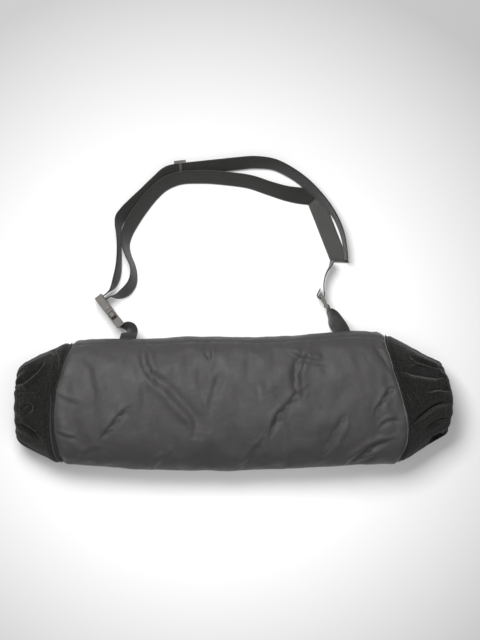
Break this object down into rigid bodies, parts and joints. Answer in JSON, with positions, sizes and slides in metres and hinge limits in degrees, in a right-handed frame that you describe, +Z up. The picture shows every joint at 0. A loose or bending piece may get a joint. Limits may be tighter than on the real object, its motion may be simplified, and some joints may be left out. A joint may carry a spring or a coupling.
{
  "type": "hand warmer muff",
  "caption": "Insulated nylon tube with gathered fleece cuffs at both ends, worn in front of the body on an adjustable webbing waist belt with a side-release buckle.",
  "frame": {"origin": "middle of the flat underside that the muff lies on", "axes": "+X along the muff from the left hand opening to the right, +Y towards the belt laid out behind it, +Z up"},
  "size_m": [0.51, 0.369, 0.0762],
  "materials": {
    "nylon_shell": "plain woven nylon, soft low sheen, dark grey",
    "batting": "bonded polyester batting, off-white",
    "fleece_lining": "brushed fleece, charcoal",
    "fleece_cuff": "brushed fleece, charcoal",
    "elastic": "braided elastic, off-white",
    "dark_thread": "polyester thread, black",
    "seam_thread": "polyester overlock thread, grey",
    "webbing": "flat woven webbing, black, slightly ribbed",
    "acetal": "moulded acetal, black, satin"
  },
  "bodies": {
    "muff": {"shell_body": "nylon_shell", "insulation": "batting", "lining": "fleece_lining", "cuff_left": "fleece_cuff", "cuff_right": "fleece_cuff", "elastic_left": "elastic", "elastic_right": "elastic", "hem_thread_left": "dark_thread", "hem_thread_right": "dark_thread", "seam_binding_left": "dark_thread", "seam_binding_right": "seam_thread", "back_topstitch": "dark_thread", "bartack_left": "dark_thread", "bartack_right": "dark_thread", "anchor_left_sewn_end": "webbing", "anchor_right_sewn_end": "webbing"},
    "belt": {"anchor_left_strap": "webbing", "anchor_right_strap": "webbing", "buckle_socket": "acetal", "belt_outer_run": "webbing", "belt_inner_run": "webbing", "belt_flat_run": "webbing", "belt_hem_stitch": "dark_thread", "belt_tail": "webbing"},
    "plug": {"buckle_plug": "acetal", "belt_buckle_loop": "webbing"},
    "lower_arm": {"latch_arm_lower": "acetal"},
    "upper_arm": {"latch_arm_upper": "acetal"},
    "glide": {"tri_glide": "acetal"},
    "ring": {"end_ring": "acetal"}
  },
  "joints": [
    {"name": "belt_swing", "type": "hinge", "parent": "muff", "child": "belt", "pos_m": [0, 0.0885, 0.037], "axis": [1, 0, 0], "range_deg": [0, 120]},
    {"name": "buckle_slide", "type": "slide", "parent": "belt", "child": "plug", "axis": [-0.6074, 0.7944, 0], "range_m": [0, 0.028], "deforming": ["latch_arm_lower", "latch_arm_upper"]},
    {"name": "lower_arm_squeeze", "type": "hinge", "parent": "plug", "child": "lower_arm", "pos_m": [-0.14921, 0.11784, 0.005], "axis": [-0.7944, -0.6074, 0], "range_deg": [0, 10], "stiffness_Nm_per_rad": 0.02},
    {"name": "upper_arm_squeeze", "type": "hinge", "parent": "plug", "child": "upper_arm", "pos_m": [-0.14921, 0.11784, 0.021], "axis": [0.7944, 0.6074, 0], "range_deg": [0, 10], "stiffness_Nm_per_rad": 0.02},
    {"name": "glide_slide", "type": "slide", "parent": "belt", "child": "glide", "axis": [0.9941, 0.1083, 0], "range_m": [0, 0.07]},
    {"name": "ring_swing", "type": "hinge", "parent": "belt", "child": "ring", "pos_m": [0.109, 0.1175, 0.013], "axis": [0, 0, 1], "range_deg": [-6, 6]}
  ]
}
